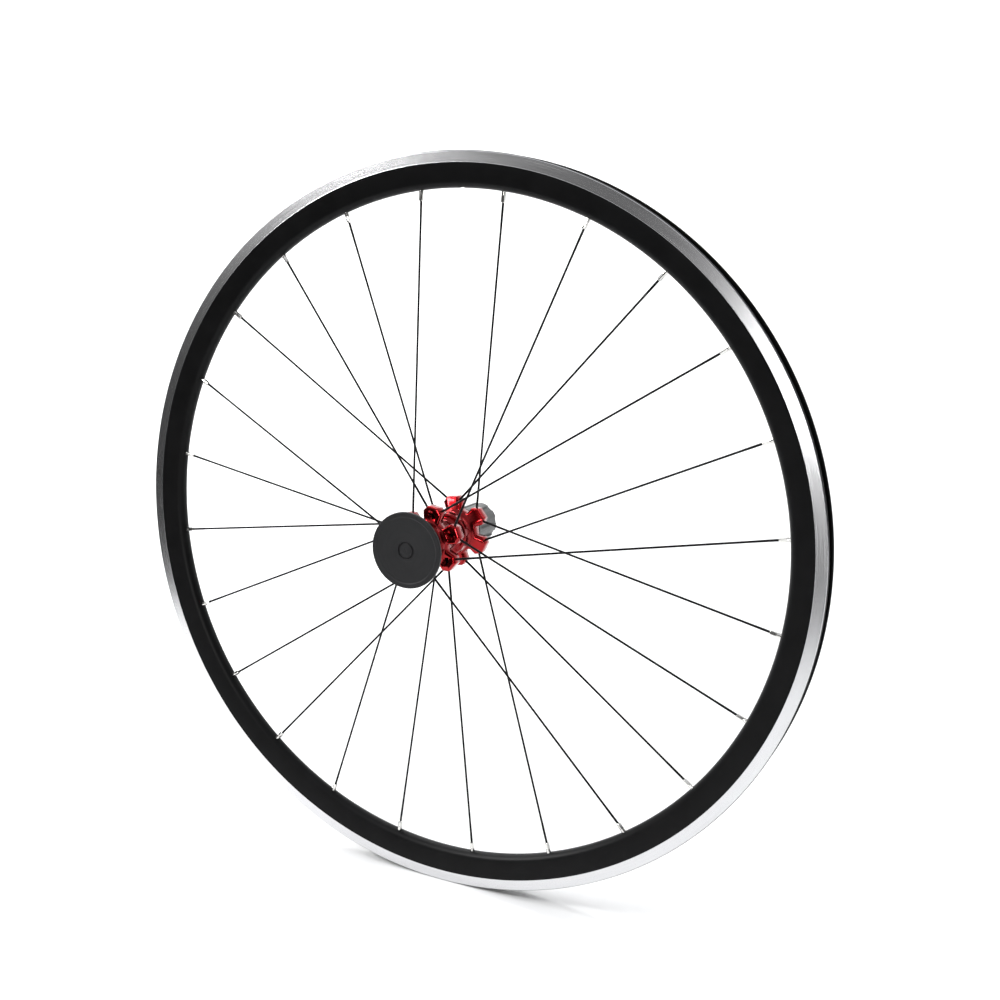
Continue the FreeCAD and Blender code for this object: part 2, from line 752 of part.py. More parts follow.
def axle():
    """Hollow axle: thin ends for the frame's slots, bearing seats, and a thicker middle."""
    tip = locknut_face + axle_end_length
    seat_start = left_bearing_start
    seat_end = freehub_outer_bearing_end
    return turned([
        (-tip, skewer_bore_radius), (-tip, axle_end_radius - edge_break),
        (-tip + edge_break, axle_end_radius), (seat_start, axle_end_radius), (seat_start, axle_radius),
        (left_bearing_end, axle_radius), (left_bearing_end, axle_shoulder_radius),
        (right_bearing_start, axle_shoulder_radius), (right_bearing_start, axle_radius),
        (seat_end, axle_radius), (seat_end, axle_end_radius), (tip - edge_break, axle_end_radius),
        (tip, axle_end_radius - edge_break), (tip, skewer_bore_radius)])


def locknut(face):
    """Round nut on the axle end with two flats for a cone wrench; its face meets the frame."""
    side = 1 if face > 0 else -1
    start, end = sorted((face, face - side * locknut_thickness))
    nut = tube(start, end, axle_end_radius + press_gap, locknut_radius)
    half = wrench_flats / 2
    for turn in (0, 180):
        slab = Part.makeBox(locknut_radius * 2, locknut_thickness * 2, locknut_radius,
                            Vector(-locknut_radius, (start + end) / 2 - locknut_thickness, half))
        nut = nut.cut(spin_about_axle(slab, turn))
    return nut


def end_spacer(start, end):
    """Sleeve between a locknut and the outermost bearing's inner race."""
    return tube(start, end, axle_end_radius + press_gap, spacer_radius)


def axle_spacer(start, end):
    """Sleeve between two inner races on the axle's bearing seat."""
    return tube(start, end, axle_radius + press_gap, spacer_radius, spacer_edge)


def dust_cover(start, outer):
    """Thin dished ring on an end spacer that shields a bearing from dirt."""
    end = start + cover_thickness
    return tube(start, end, spacer_radius + press_gap, outer - free_gap)


def axle_protector():
    """Push-on disc over the left axle end, with a socket behind and a grooved centre in front."""
    back = -locknut_face - axle_end_length - protector_end_gap
    boss_end = -locknut_face - free_gap
    front = back - protector_thickness
    lip_start = protector_radius - protector_lip_width
    lip_front = front - protector_lip_height
    socket_radius = axle_end_radius + running_fit
    body = turned([
        (front, 0), (front, protector_groove_inner),
        (front + protector_groove_depth, protector_groove_inner),
        (front + protector_groove_depth, protector_groove_outer), (front, protector_groove_outer),
        (front, lip_start - 2 * protector_lip_height), (lip_front, lip_start),
        (lip_front, protector_radius - protector_rim_round),
        ((lip_front + protector_rim_round * 0.3, protector_radius - protector_rim_round * 0.3),
         (lip_front + protector_rim_round, protector_radius)),
        (back, protector_radius), (back, protector_boss_radius + protector_boss_round),
        ((back + protector_boss_round * 0.3, protector_boss_radius + protector_boss_round * 0.3),
         (back + protector_boss_round, protector_boss_radius)),
        (boss_end, protector_boss_radius), (boss_end, socket_radius), (back, socket_radius),
        (back, 0)])
    return body


# ---- write every node ----

os.makedirs("parts", exist_ok=True)

save("rim", rim())
save("rim_tape", rim_tape())
save("rim_joint_sleeve", rim_joint_sleeve())

for side_name, parity in (("left", 0), ("right", 1)):
    numbers = range(parity, spoke_count, 2)
    save(side_name + "_nipples", Part.makeCompound([nipple(number) for number in numbers]))
    for lean_name, lean in (("leading", 1), ("trailing", -1)):
        group = [spoke(number) for number in numbers if lean_of(number) == lean]
        save(side_name + "_" + lean_name + "_spokes", Part.makeCompound(group))

save("hub_shell", hub_shell())
save("ratchet_ring", ratchet_ring())
save("freehub_body", freehub_body())
save("freehub_circlip", freehub_circlip())
save("freehub_seal", freehub_seal())
save("pawl_springs", pawl_springs())
for number in range(pawl_count):
    save("pawl_" + str(number + 1), pawl(number))

for bearing_name, bearing_start in (
        ("left_hub_bearing", left_bearing_start), ("right_hub_bearing", right_bearing_start),
        ("freehub_inner_bearing", freehub_inner_bearing_start),
        ("freehub_outer_bearing", freehub_outer_bearing_start)):
    for piece_name, piece in bearing_pieces(bearing_start).items():
        save(bearing_name + "_" + piece_name, piece)

save("axle", axle())
save("left_locknut", locknut(-locknut_face))
save("right_locknut", locknut(locknut_face))
save("left_end_spacer", end_spacer(-locknut_back, left_bearing_start))
save("right_end_spacer", end_spacer(freehub_outer_bearing_end, locknut_back))
save("hub_to_freehub_spacer", axle_spacer(right_bearing_end, freehub_inner_bearing_start))
save("freehub_bearing_spacer", axle_spacer(freehub_inner_bearing_end, freehub_outer_bearing_start))
save("left_dust_cover",
     dust_cover(left_bearing_start - cover_thickness - left_cover_gap, bearing_seat_radius))
save("right_dust_cover",
     dust_cover(freehub_outer_bearing_end + right_cover_gap, lockring_thread_radius))
save("axle_protector", axle_protector())
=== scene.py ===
import json
import math

import bmesh
import bpy
from mathutils import Matrix, Vector


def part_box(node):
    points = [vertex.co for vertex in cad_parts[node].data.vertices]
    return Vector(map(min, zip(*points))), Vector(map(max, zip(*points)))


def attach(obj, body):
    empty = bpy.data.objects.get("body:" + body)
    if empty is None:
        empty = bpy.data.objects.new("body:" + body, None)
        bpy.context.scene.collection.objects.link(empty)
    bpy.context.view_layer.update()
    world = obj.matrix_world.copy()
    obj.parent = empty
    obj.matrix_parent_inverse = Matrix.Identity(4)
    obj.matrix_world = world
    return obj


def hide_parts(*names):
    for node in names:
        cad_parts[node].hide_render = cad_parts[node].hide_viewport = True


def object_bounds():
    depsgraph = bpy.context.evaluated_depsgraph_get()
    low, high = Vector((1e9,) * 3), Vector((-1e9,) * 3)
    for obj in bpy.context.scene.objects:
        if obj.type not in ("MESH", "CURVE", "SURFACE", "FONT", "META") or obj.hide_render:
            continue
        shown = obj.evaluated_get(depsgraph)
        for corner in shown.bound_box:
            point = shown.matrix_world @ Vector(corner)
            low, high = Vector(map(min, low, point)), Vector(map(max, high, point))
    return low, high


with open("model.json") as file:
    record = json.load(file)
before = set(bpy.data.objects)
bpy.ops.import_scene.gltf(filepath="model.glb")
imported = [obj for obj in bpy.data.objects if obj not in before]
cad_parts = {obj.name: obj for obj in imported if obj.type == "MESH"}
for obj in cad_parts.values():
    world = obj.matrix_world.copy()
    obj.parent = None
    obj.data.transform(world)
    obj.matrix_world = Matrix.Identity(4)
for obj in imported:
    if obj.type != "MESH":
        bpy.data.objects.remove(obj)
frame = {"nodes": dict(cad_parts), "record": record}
cad_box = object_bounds()


# ---- camera ----
# A long lens a good metre away on the wheel's left side, a little above the axle. The lens is
# shifted sideways, so that the wheel stands in the middle of the frame.

camera_data = bpy.data.cameras.new("studio_camera")
camera = bpy.data.objects.new("studio_camera", camera_data)
bpy.context.collection.objects.link(camera)
bpy.context.scene.camera = camera
camera_turn = math.radians(29.42)
camera_dip = math.radians(10.955)
camera.location = (0.4749, -0.9084, 0.2259)
camera.rotation_euler = (math.radians(90) - camera_dip, 0, camera_turn)
camera_data.sensor_width = 36
camera_data.lens = 44.06
camera_data.shift_x = 0.090
camera_data.shift_y = 0.002
camera_data.clip_start = 0.02


# ---- studio floor and backdrop ----
# One sheet of white paper, laid on the table under the wheel and swept up behind it in a wide
# curve. Its front edge is cut askew. It has a matt, very faintly fibrous surface.

class Finish:
    """One socket of a material. Arithmetic on it adds Math nodes, so a pattern reads as a formula."""

    def __init__(self, tree, socket=None):
        self.tree = tree
        self.socket = socket

    def node(self, kind, settings, sockets, output=0):
        made = self.tree.nodes.new(kind)
        for name, value in settings.items():
            setattr(made, name, value)
        for name, value in sockets.items():
            if isinstance(value, Finish):
                self.tree.links.new(value.socket, made.inputs[name])
            else:
                made.inputs[name].default_value = value
        return Finish(self.tree, made.outputs[output] if made.outputs else None)

    def maths(self, operation, *values):
        return self.node("ShaderNodeMath", {"operation": operation}, dict(enumerate(values)))

    def __add__(self, other):
        return self.maths("ADD", self, other)

    def __rsub__(self, other):
        return self.maths("SUBTRACT", other, self)

    def __mul__(self, other):
        return self.maths("MULTIPLY", self, other)

    def __pow__(self, other):
        return self.maths("POWER", self, other)

    __radd__ = __add__
    __rmul__ = __mul__


def new_finish(name):
    """Empty material and the wrapper that adds nodes to it."""
    material = bpy.data.materials.new(name)
    material.use_nodes = True
    material.node_tree.nodes.clear()
    return material, Finish(material.node_tree)


def rise(value, low, high):
    """0 below low and 1 above high, with a smooth change between."""
    return value.node("ShaderNodeMapRange", {"interpolation_type": "SMOOTHSTEP"},
                      {"Value": value, "From Min": low, "From Max": high})


def blend_colours(share, first, second):
    """Colour that goes from the first to the second as the share goes from 0 to 1."""
    return share.node("ShaderNodeMix", {"data_type": "RGBA"}, {0: share, 6: first, 7: second}, 2)


def grain(vector, scale, detail=2.0):
    """Soft noise between 0 and 1."""
    return vector.node("ShaderNodeTexNoise", {}, {"Vector": vector, "Scale": scale, "Detail": detail})


def bumped(height, depth, strength=1.0):
    """Normal of a surface with a height pattern of that depth in metres."""
    return height.node("ShaderNodeBump", {}, {"Height": height, "Distance": depth, "Strength": strength})


def close_finish(material, start, sockets):
    """Surface shader and output of a material."""
    shader = start.node("ShaderNodeBsdfPrincipled", {}, sockets)
    start.node("ShaderNodeOutputMaterial", {}, {"Surface": shader})
    return material


def paper():
    material, start = new_finish("white_paper")
    place = start.node("ShaderNodeTexCoord", {}, {}, "Object")
    fibres = grain(place, 900.0, 4.0)
    tone = blend_colours(fibres, (0.90, 0.90, 0.90, 1), (0.93, 0.93, 0.93, 1))
    return close_finish(material, start, {
        "Base Color": tone, "Roughness": 0.9, "Specular IOR Level": 0.1,
        "Normal": bumped(fibres, 0.00004)})


def add_piece(name, shape, materials):
    """Object made from a finished bmesh, smooth on its rounds and sharp at its corners."""
    mesh = bpy.data.meshes.new(name)
    shape.to_mesh(mesh)
    shape.free()
    mesh.shade_smooth()
    mesh.set_sharp_from_angle(angle=math.radians(32))
    for material in materials:
        mesh.materials.append(material)
    piece = bpy.data.objects.new(name, mesh)
    bpy.context.collection.objects.link(piece)
    return piece


floor_height = cad_box[0][2]
sheet_half_width = 5.0
sheet_front = -0.75
front_skew = 1.8
sheet_back = 3.0
sheet_top = 4.0
sheet_curve = 1.4

sweep = bmesh.new()
front_edge = [sweep.verts.new((side * sheet_half_width, sheet_front, floor_height)) for side in (-1, 1)]
last_edge = sweep.edges.new(front_edge)
for move in ((0, sheet_back - sheet_front, 0), (0, 0, sheet_top)):
    grown = bmesh.ops.extrude_edge_only(sweep, edges=[last_edge])["geom"]
    far_corners = [part for part in grown if isinstance(part, bmesh.types.BMVert)]
    bmesh.ops.translate(sweep, vec=move, verts=far_corners)
    last_edge = sweep.edges.get(far_corners)
fold = [edge for edge in sweep.edges if len(edge.link_faces) == 2]
bmesh.ops.bevel(sweep, geom=fold, offset=sheet_curve, segments=24, affect="EDGES", profile=0.5,
                material=-1)
for corner, side in zip(front_edge, (-1, 1)):
    corner.co.y -= side * front_skew
bmesh.ops.recalc_face_normals(sweep, faces=sweep.faces)
backdrop = add_piece("paper_sweep", sweep, [paper()])


# ---- studio lights ----
# A big soft box on the left, high and a little in front, throws the shadow to the right. Two small
# lamps in front draw the bright parts of the brake track, and two more wash the backdrop. The room
# is pale overhead and behind, and dark in front, which darkens the rest of the track.

def soft_box(name, place, aim, size, power):
    """Rectangular lamp at a place, turned to face a point."""
    data = bpy.data.lights.new(name, "AREA")
    data.shape = "RECTANGLE"
    data.size, data.size_y = size
    data.energy = power
    lamp = bpy.data.objects.new(name, data)
    bpy.context.collection.objects.link(lamp)
    lamp.location = place
    lamp.rotation_euler = (Vector(aim) - Vector(place)).to_track_quat("-Z", "Y").to_euler()
    return lamp


soft_box("left_box", (-1.9, -0.65, 1.75), (0, 0, 0), (1.1, 1.1), 28)
soft_box("front_left_box", (-1.45, -1.35, 1.2), (0, 0, 0), (0.6, 0.6), 32)
soft_box("front_strip", (0.6, -2.6, 0.21), (0, 0, 0.05), (0.9, 0.35), 17)
soft_box("left_backdrop_wash", (-2.2, 1.4, 2.6), (-2.0, 3.1, 0.6), (3.0, 1.0), 110)
soft_box("right_backdrop_wash", (2.9, 1.8, 2.9), (2.9, 3.4, 1.0), (3.0, 1.0), 35)

world = bpy.data.worlds.new("studio_room")
bpy.context.scene.world = world
world.use_nodes = True
world.node_tree.nodes.clear()
room = Finish(world.node_tree)
toward = room.node("ShaderNodeTexCoord", {}, {}, "Generated")
forward = toward.node("ShaderNodeSeparateXYZ", {}, {0: toward}, 1)
upward = toward.node("ShaderNodeSeparateXYZ", {}, {0: toward}, 2)
pale = rise(forward, -0.25, 0.15) + rise(upward, 0.35, 0.75)
lit = blend_colours(pale, (0.05, 0.05, 0.05, 1), (0.95, 0.97, 1.0, 1))
# Seen directly, the room is as white as the paper from any side.
seen = room.node("ShaderNodeLightPath", {}, {}, "Is Camera Ray")
sky = blend_colours(seen, lit, (1.3, 1.3, 1.3, 1))
glow = room.node("ShaderNodeBackground", {}, {"Color": sky, "Strength": 0.77})
room.node("ShaderNodeOutputWorld", {}, {"Surface": glow})
bpy.context.scene.view_settings.view_transform = "Standard"


# ---- rim ----
# Extruded aluminium with a hollow box section, rolled into a hoop and pinned. It is anodised satin
# black, then both brake tracks are turned bright, which leaves fine lines all round them.

mm = 0.001
rim_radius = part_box("rim")[1][2]
rim_depth = 29.2 * mm
rim_half = 10.0 * mm
bed_radius = rim_radius - rim_depth
bed_round = 6.8 * mm
track_foot = rim_radius - 9.3 * mm
track_step = 0.2 * mm
bead_seat = 311.0 * mm
well_floor = 307.0 * mm
channel_half = 8.5 * mm
lip_half = 7.5 * mm
well_half = 4.7 * mm
well_slope = 1.0 * mm
rim_edge = 0.8 * mm
hook_edge = 0.5 * mm
hook_height = 1.7 * mm
hook_foot = 2.7 * mm
edge_round = 0.18 * mm
turning_lines = 5200.0
turning_bands = 900.0
turning_depth = 0.000015


def turned(outline, steps, corner=0.0, closed=True):
    """Shape turned about the axle line from (station, radius) points, with its corners rounded."""
    shape = bmesh.new()
    points = [shape.verts.new((0, station, radius)) for station, radius in outline]
    edges = [shape.edges.new(pair) for pair in zip(points, points[1:])]
    if closed:
        edges.append(shape.edges.new((points[-1], points[0])))
    inner = [point for point in points if len(point.link_edges) == 2]
    if corner:
        bmesh.ops.bevel(shape, geom=inner, offset=corner, segments=3, affect="VERTICES",
                        profile=0.5, material=-1, clamp_overlap=True)
    bmesh.ops.spin(shape, geom=shape.verts[:] + shape.edges[:], axis=(0, 1, 0), cent=(0, 0, 0),
                   angle=2 * math.pi, steps=steps, use_merge=True)
    bmesh.ops.remove_doubles(shape, verts=shape.verts, dist=1e-6)
    bmesh.ops.dissolve_degenerate(shape, edges=shape.edges, dist=1e-6)
    bmesh.ops.recalc_face_normals(shape, faces=shape.faces)
    return shape


def round_the_axle(start):
    """Position in a material as radius from the axle line, angle round it, and place along it."""
    place = start.node("ShaderNodeTexCoord", {}, {}, "Object")
    x = place.node("ShaderNodeSeparateXYZ", {}, {0: place}, 0)
    y = place.node("ShaderNodeSeparateXYZ", {}, {0: place}, 1)
    z = place.node("ShaderNodeSeparateXYZ", {}, {0: place}, 2)
    return place, (x * x + z * z) ** 0.5, x.maths("ARCTAN2", x, z), y


def vector_of(x, y, z):
    """Vector from three values, at least the first of which is a wire."""
    return x.node("ShaderNodeCombineXYZ", {}, {0: x, 1: y, 2: z})


def rim_finish():
    material, start = new_finish("rim_black_and_track")
    place, radius, angle, along = round_the_axle(start)
    side = along.maths("ABSOLUTE", along)
    cut_start = 0.45 * mm
    cut_end = 0.25 * mm
    track = (rise(radius, track_foot - track_step, track_foot - track_step / 2)
             * rise(side, rim_half - cut_start, rim_half - cut_end)
             * (1 - rise(radius, rim_radius - cut_start, rim_radius - cut_end)))
    lines = grain(vector_of(radius * turning_lines, angle * 5.0, along * turning_lines), 1.0, 4.0)
    broad = grain(vector_of(radius * turning_bands, angle * 14.0, along * turning_bands), 1.0, 3.0)
    cloud = grain(place, 60.0, 3.0)
    speck = grain(place, 2600.0, 2.0)
    black = blend_colours(cloud, (0.0024, 0.0024, 0.0026, 1), (0.005, 0.005, 0.0053, 1))
    bright = blend_colours(lines, (0.56, 0.56, 0.57, 1), (0.82, 0.82, 0.83, 1))
    height = lines * track * 0.75 + broad * track * 0.25 + speck * (1 - track) * 0.5
    return close_finish(material, start, {
        "Base Color": blend_colours(track, black, bright),
        "Metallic": track,
        "Roughness": track * (0.16 + lines * 0.16) + (1 - track) * (0.34 + cloud * 0.1),
        "Specular IOR Level": 0.12,
        "Normal": bumped(height, turning_depth)})


def half_section():
    """Outside of one side of the rim, from the bed to the bottom of the tyre channel."""
    points = []
    bed_steps = 8
    lift = bed_radius + bed_round
    slope = math.atan2(rim_half + track_step, track_foot - lift)
    reach = math.hypot(rim_half + track_step, track_foot - lift)
    touch = slope + math.acos(bed_round / reach)
    for step in range(1, bed_steps + 1):
        turn = math.pi + (touch - math.pi) * step / bed_steps
        points.append((bed_round * math.sin(turn), lift + bed_round * math.cos(turn)))
    points += [
        (rim_half + track_step, track_foot - track_step), (rim_half, track_foot),
        (rim_half, rim_radius - rim_edge), (rim_half - rim_edge, rim_radius),
        (lip_half + hook_edge, rim_radius), (lip_half, rim_radius - hook_edge),
        (lip_half, rim_radius - hook_height), (channel_half, rim_radius - hook_foot),
        (channel_half, bead_seat), (well_half + well_slope, bead_seat), (well_half, well_floor)]
    return points


def drilled(piece, drills):
    """Piece with round holes cut by cylinders given as (start, end, radius)."""
    tool = bmesh.new()
    for start, end, radius in drills:
        run = Vector(end) - Vector(start)
        aim = Vector((0, 0, 1)).rotation_difference(run).to_matrix().to_4x4()
        middle = Matrix.Translation((Vector(start) + Vector(end)) / 2)
        bmesh.ops.create_cone(tool, cap_ends=True, segments=24, radius1=radius, radius2=radius,
                              depth=run.length, matrix=middle @ aim)
    tool_mesh = bpy.data.meshes.new("drill_bits")
    tool.to_mesh(tool_mesh)
    tool.free()
    bits = bpy.data.objects.new("drill_bits", tool_mesh)
    bpy.context.collection.objects.link(bits)
    cut = piece.modifiers.new("holes", "BOOLEAN")
    cut.object = bits
    cut.operation = "DIFFERENCE"
    cut.solver = "EXACT"
    result = bpy.data.meshes.new_from_object(piece.evaluated_get(bpy.context.evaluated_depsgraph_get()))
    piece.modifiers.clear()
    piece.data = result
    bpy.data.objects.remove(bits)
    result.shade_smooth()
    result.set_sharp_from_angle(angle=math.radians(32))
    return piece


def straight_centre_lines(node):
    """Both ends of each loose straight piece of a node, first the end nearer the axle."""
    copy = bmesh.new()
    copy.from_mesh(frame["nodes"][node].data)
    bmesh.ops.remove_doubles(copy, verts=copy.verts, dist=1e-6)
    end_band = 0.05 * mm
    lines = []
    for seed in copy.verts:
        if seed.tag:
            continue
        seed.tag = True
        island = [seed]
        for vert in island:
            for edge in vert.link_edges:
                other = edge.other_vert(vert)
                if not other.tag:
                    other.tag = True
                    island.append(other)
        ends = sorted(island, key=lambda vert: math.hypot(vert.co.x, vert.co.z))
        near, far = ends[0].co.copy(), ends[-1].co.copy()
        for _ in range(3):
            run = (far - near).normalized()
            reach = [vert.co.dot(run) for vert in island]
            low, high = min(reach), max(reach)
            first = [vert.co for vert, at in zip(island, reach) if at < low + end_band]
            last = [vert.co for vert, at in zip(island, reach) if at > high - end_band]
            near = sum(first, Vector()) / len(first)
            far = sum(last, Vector()) / len(last)
        lines.append((near, far))
    copy.free()
    return sorted(lines, key=lambda line: math.atan2(line[1].x, line[1].z))


spoke_nodes = {"left": ("left_leading_spokes", "left_trailing_spokes"),
               "right": ("right_leading_spokes", "right_trailing_spokes")}
spoke_lines = {node: straight_centre_lines(node) for pair in spoke_nodes.values() for node in pair}
spoke_tip_past_bed = 4.1 * mm
nipple_hole_radius = 2.25 * mm
valve_mount = [mount for mount in frame["record"]["mounts"] if mount["name"] == "valve_hole"][0]
valve_out = Vector(valve_mount["axis"]).normalized()
valve_radius = 3.25 * mm

section = half_section()
hoop = turned(section + [(-across, radius) for across, radius in reversed(section)]
              + [(0, bed_radius)], 288, edge_round)
rim = add_piece("rim_hoop", hoop, [rim_finish()])
drill_overrun = 2 * mm
holes = [(valve_out * (bed_radius - drill_overrun), valve_out * (well_floor + drill_overrun),
          valve_radius)]
for lines in spoke_lines.values():
    for near, far in lines:
        run = (far - near).normalized()
        bed = far - run * spoke_tip_past_bed
        holes.append((bed - run * drill_overrun, bed + run * drill_overrun, nipple_hole_radius))
drilled(rim, holes)
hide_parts("rim")
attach(rim, "wheel")


# ---- rim tape ----
# A thin woven strip that lies in the bottom of the tyre channel and covers the spoke holes. It has
# one punched hole for the valve.

def tape_finish():
    material, start = new_finish("woven_tape")
    _, _, angle, along = round_the_axle(start)
    threads = angle.maths("SINE", angle * 5200.0) * 0.5 + 0.5
    cross = along.maths("SINE", along * 9000.0) * 0.5 + 0.5
    weave = threads * cross
    tone = blend_colours(weave, (0.012, 0.012, 0.014, 1), (0.04, 0.04, 0.045, 1))
    return close_finish(material, start, {
        "Base Color": tone, "Roughness": 0.7 + weave * 0.15, "Normal": bumped(weave, 0.00005)})


tape_half = 4.4 * mm
tape_inner = well_floor + 0.03 * mm
tape_outer = tape_inner + 0.5 * mm
tape_crease = 0.05 * mm
tape_round = 0.08 * mm
tape = add_piece("tape_strip", turned(
    [(-tape_half, tape_inner), (-tape_half, tape_outer), (0, tape_outer - tape_crease),
     (tape_half, tape_outer), (tape_half, tape_inner)], 240, tape_round), [tape_finish()])
drilled(tape, [(valve_out * (tape_inner - drill_overrun), valve_out * (tape_outer + drill_overrun),
                valve_radius)])
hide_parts("rim_tape")
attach(tape, "wheel")


# ---- joint sleeve inside the rim ----
# A short aluminium extrusion pressed into both ends of the rim's cavity. It is left as it comes
# from the mill, with drawing lines along it.

def milled_finish(name, dark, light, metal, rough, lines_depth=0.000012):
    """Bare or plated metal with fine turning lines round the axle and faint clouding."""
    material, start = new_finish(name)
    place, radius, angle, along = round_the_axle(start)
    lines = grain(vector_of(radius * 4200.0, angle * 1.5, along * 4200.0), 1.0, 3.0)
    cloud = grain(place, 140.0, 3.0)
    tone = blend_colours(lines * 0.6 + cloud * 0.4, dark, light)
    return close_finish(material, start, {
        "Base Color": tone, "Metallic": metal, "Roughness": lines * 0.12 + cloud * 0.08 + rough,
        "Normal": bumped(lines, lines_depth)})


def dress(node, material):
    """Give a node that keeps its own shape its finish."""
    slots = frame["nodes"][node].data.materials
    slots.clear()
    slots.append(material)


mill_aluminium = milled_finish("mill_aluminium", (0.46, 0.46, 0.47, 1), (0.62, 0.62, 0.63, 1), 1.0, 0.3)
dress("rim_joint_sleeve", mill_aluminium)


# ---- spokes ----
# Straight-pull spokes of drawn stainless steel with a black coating: a mushroom head, thick ends
# and a thinner middle. The far end is threaded and goes up inside the nipple.

def spoke_finish():
    material, start = new_finish("black_coated_steel")
    place = start.node("ShaderNodeTexCoord", {}, {}, "Object")
    cloud = grain(place, 220.0, 3.0)
    scuff = rise(grain(place, 1400.0, 4.0), 0.62, 0.75)
    tone = blend_colours(scuff, (0.004, 0.004, 0.0045, 1), (0.03, 0.03, 0.031, 1))
    return close_finish(material, start, {
        "Base Color": tone, "Roughness": cloud * 0.16 + 0.3, "Specular IOR Level": 0.1,
        "Normal": bumped(cloud, 0.00001)})


def aimed(shape, start, end):
    """Shape made along +Y from the origin, laid along the line from start to end."""
    turn = Vector((0, 1, 0)).rotation_difference(Vector(end) - Vector(start)).to_matrix().to_4x4()
    bmesh.ops.transform(shape, matrix=Matrix.Translation(start) @ turn, verts=shape.verts)
    return shape


def gathered(shapes):
    """One bmesh that holds several."""
    whole = bmesh.new()
    for shape in shapes:
        mesh = bpy.data.meshes.new("loose_part")
        shape.to_mesh(mesh)
        shape.free()
        whole.from_mesh(mesh)
        bpy.data.meshes.remove(mesh)
    return whole


head_height = 2.0 * mm
head_radius = 2.1 * mm
end_radius = 1.0 * mm
middle_radius = 0.9 * mm
butt_length = 22.0 * mm
butt_taper = 12.0 * mm
head_fillet = 0.4 * mm


def spoke_shape(near, far):
    """One spoke along its centre line, from the top of its head to its threaded tip."""
    length = (far - near).length
    outline = [(0, 0), (0, head_radius * 0.62), (head_height * 0.2, head_radius * 0.92),
               (head_height * 0.6, head_radius), (head_height, head_radius * 0.97),
               (head_height, end_radius * 1.2), (head_height + head_fillet, end_radius),
               (butt_length, end_radius), (butt_length + butt_taper, middle_radius),
               (length * 0.5, middle_radius), (length - butt_length - butt_taper, middle_radius),
               (length - butt_length, end_radius), (length, end_radius), (length, 0)]
    return aimed(turned(outline, 14, closed=False), near, far)


spoke_coat = spoke_finish()
for node, lines in spoke_lines.items():
    spokes = add_piece(node + "_drawn", gathered(spoke_shape(near, far) for near, far in lines),
                       [spoke_coat])
    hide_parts(node)
    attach(spokes, "wheel")


# ---- nipples ----
# Turned brass, bright nickel plated. The head sits inside the rim, and the shank comes out through
# the bed and is milled to four flats for the spoke key.

def nipple_finish():
    material, start = new_finish("nickel_plate")
    place = start.node("ShaderNodeTexCoord", {}, {}, "Object")
    cloud = grain(place, 700.0, 3.0)
    tone = blend_colours(cloud, (0.62, 0.61, 0.58, 1), (0.85, 0.84, 0.82, 1))
    return close_finish(material, start, {
        "Base Color": tone, "Metallic": 1.0, "Roughness": cloud * 0.14 + 0.14,
        "Normal": bumped(cloud, 0.000008)})


nipple_below_tip = 12.6 * mm
nipple_length = 13.8 * mm
shank_radius = 2.0 * mm
nipple_head_radius = 3.0 * mm
nipple_bore = 1.05 * mm
nipple_head_height = 3.0 * mm
nipple_flare = 1.0 * mm
nipple_crown = 1.0 * mm
nipple_foot_edge = 0.5 * mm
flat_half = 1.65 * mm
grip_length = 5.6 * mm
grip_step = 0.1 * mm


def nipple_shape(near, far):
    """One nipple round the tip of its spoke."""
    run = (far - near).normalized()
    low = far - run * nipple_below_tip
    seat = nipple_length - nipple_head_height
    shoulder = 0.3 * nipple_crown
    outline = [(0, nipple_bore), (0, shank_radius - nipple_foot_edge), (nipple_foot_edge, shank_radius),
               (grip_length - grip_step, shank_radius), (grip_length, shank_radius),
               (seat, shank_radius), (seat + nipple_flare, nipple_head_radius),
               (nipple_length - nipple_crown, nipple_head_radius),
               (nipple_length - shoulder, nipple_head_radius - shoulder),
               (nipple_length, nipple_head_radius - nipple_crown), (nipple_length, nipple_bore)]
    shape = turned(outline, 32)
    for vert in shape.verts:
        if vert.co.y < grip_length - grip_step / 2:
            vert.co.x = max(-flat_half, min(flat_half, vert.co.x))
            vert.co.z = max(-flat_half, min(flat_half, vert.co.z))
    return aimed(shape, low, far)


nickel = nipple_finish()
for side, nodes in spoke_nodes.items():
    lines = [line for node in nodes for line in spoke_lines[node]]
    nipples = add_piece(side + "_nipples_turned", gathered(nipple_shape(near, far) for near, far in lines),
                        [nickel])
    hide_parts(side + "_nipples")
    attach(nipples, "wheel")


# ---- hub shell ----
# Turned and milled from one aluminium bar, with a six-lobed star flange at each end, then polished
# and anodised bright red. Near the axle the red is painted darker, as shade on the barrel between the
# flanges.

def smooth_copy(node, body, material):
    """Node's own shape with its rounds shaded smooth, in place of the node."""
    shape = bmesh.new()
    shape.from_mesh(frame["nodes"][node].data)
    bmesh.ops.remove_doubles(shape, verts=shape.verts, dist=1e-6)
    bmesh.ops.dissolve_degenerate(shape, edges=shape.edges, dist=1e-6)
    piece = add_piece(node + "_finished", shape, [material])
    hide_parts(node)
    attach(piece, body)
    return piece


def red_anodised():
    material, start = new_finish("red_anodised")
    place, radius, angle, along = round_the_axle(start)
    lines = grain(vector_of(radius * 2600.0, angle * 2.0, along * 2600.0), 1.0, 3.0)
    cloud = grain(place, 90.0, 3.0)
    # Painted shade: the red darkens towards the axle, where the barrel lies between the flanges.
    painted_barrel_shade = 1 - rise(radius, 15.0 * mm, 24.0 * mm)
    share = painted_barrel_shade * 0.45 + cloud * 0.4
    tone = blend_colours(share, (0.36, 0.006, 0.009, 1), (0.11, 0.0015, 0.003, 1))
    return close_finish(material, start, {
        "Base Color": tone, "Metallic": 1.0, "Roughness": lines * 0.10 + cloud * 0.06 + 0.13,
        "Coat Weight": 0.35, "Normal": bumped(lines, 0.000012)})


smooth_copy("hub_shell", "wheel", red_anodised())


